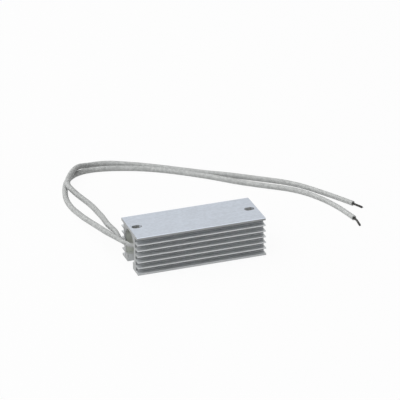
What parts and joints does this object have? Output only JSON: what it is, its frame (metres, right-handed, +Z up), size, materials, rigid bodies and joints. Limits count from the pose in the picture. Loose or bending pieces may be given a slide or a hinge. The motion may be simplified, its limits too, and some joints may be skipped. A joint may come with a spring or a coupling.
{
  "type": "aluminium housed power resistor",
  "caption": "Wire wound power resistor cast into a finned aluminium extrusion with an open foot channel, slotted top plate and two flexible leads from one end.",
  "frame": {"origin": "middle of the surface that the body stands on", "axes": "+X along the extrusion, away from the end that the leads leave; +Z up, from the feet to the slotted top plate; the leads lie on the +Y side"},
  "size_m": [0.2138, 0.2075, 0.0305],
  "materials": {
    "extrusion": "clear anodised, satin, with fine lines along the extrusion",
    "cement": "cast cement, matt and finely grained",
    "end_seal": "cured sealing compound, satin",
    "mica": "rolled mica, satin",
    "ceramic_core": "fired, matt",
    "resistance_wire": "drawn alloy wire",
    "cap_steel": "pressed and nickel plated",
    "copper_rod": "drawn copper",
    "crimp_brass": "crimped brass",
    "lead_insulation": "silicone rubber, satin, pale grey",
    "bare_strand": "twisted plated copper strands"
  },
  "bodies": {
    "root": {"housing": "extrusion", "filling": "cement", "seal_left": "end_seal", "seal_right": "end_seal", "sleeve": "mica", "core": "ceramic_core", "winding": "resistance_wire", "cap_left": "cap_steel", "cap_right": "cap_steel", "return_rod": "copper_rod", "crimp_a": "crimp_brass", "crimp_b": "crimp_brass", "lead_a": "lead_insulation", "lead_b": "lead_insulation", "strand_a": "bare_strand", "strand_b": "bare_strand"}
  },
  "joints": []
}
